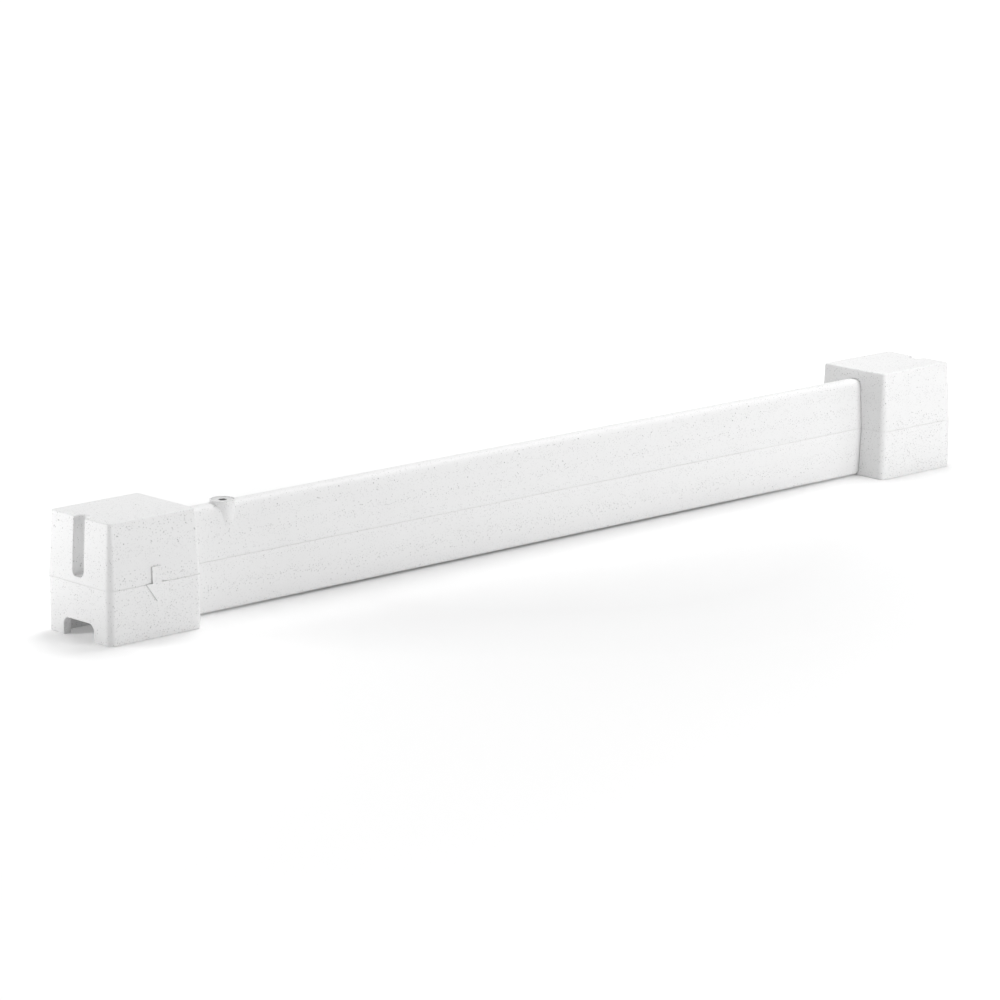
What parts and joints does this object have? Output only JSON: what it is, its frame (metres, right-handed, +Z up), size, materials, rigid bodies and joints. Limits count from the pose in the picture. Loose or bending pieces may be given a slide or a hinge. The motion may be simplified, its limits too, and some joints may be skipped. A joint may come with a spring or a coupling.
{
  "type": "water filled barrier",
  "caption": "Low water-filled barrier: a slim hollow beam between two hollow end blocks with post slots, hand holds, a filler plug and a drain plug.",
  "frame": {"origin": "on the ground, under the middle of the beam", "axes": "+X along the barrier, away from the filler and the drained block; +Z up; the raised arrow faces -Y"},
  "size_m": [2, 0.168, 0.2],
  "materials": {
    "shell": "fine satin with dark grey granite speckles",
    "plug": "smooth satin, the shell's grey",
    "insert": "turned, with a rolled locking groove",
    "seal": "black matt"
  },
  "bodies": {
    "tank": {"upper_shell": "shell", "lower_shell": "shell", "filler_insert": "insert", "drain_insert": "insert"},
    "filler_seal": {"filler_seal": "seal"},
    "filler_plug": {"filler_plug": "plug"},
    "drain_seal": {"drain_seal": "seal"},
    "drain_plug": {"drain_plug": "plug"}
  },
  "joints": [
    {"name": "filler_lift", "type": "slide", "parent": "tank", "child": "filler_seal", "axis": [0, 0, 1], "range_m": [0, 0.012]},
    {"name": "filler_turn", "type": "hinge", "parent": "filler_seal", "child": "filler_plug", "pos_m": [-0.704, -0.005, 0.18], "axis": [0, 0, 1], "range_deg": [0, 1080]},
    {"name": "drain_drop", "type": "slide", "parent": "tank", "child": "drain_seal", "axis": [0, 0, -1], "range_m": [0, 0.012]},
    {"name": "drain_turn", "type": "hinge", "parent": "drain_seal", "child": "drain_plug", "pos_m": [-0.93, 0, 0.036], "axis": [0, 0, -1], "range_deg": [0, 1080]}
  ],
  "couplings": [
    {"joint": "filler_lift", "follows": "filler_turn", "m_per_rad": 0.00063661},
    {"joint": "drain_drop", "follows": "drain_turn", "m_per_rad": 0.00063661}
  ]
}
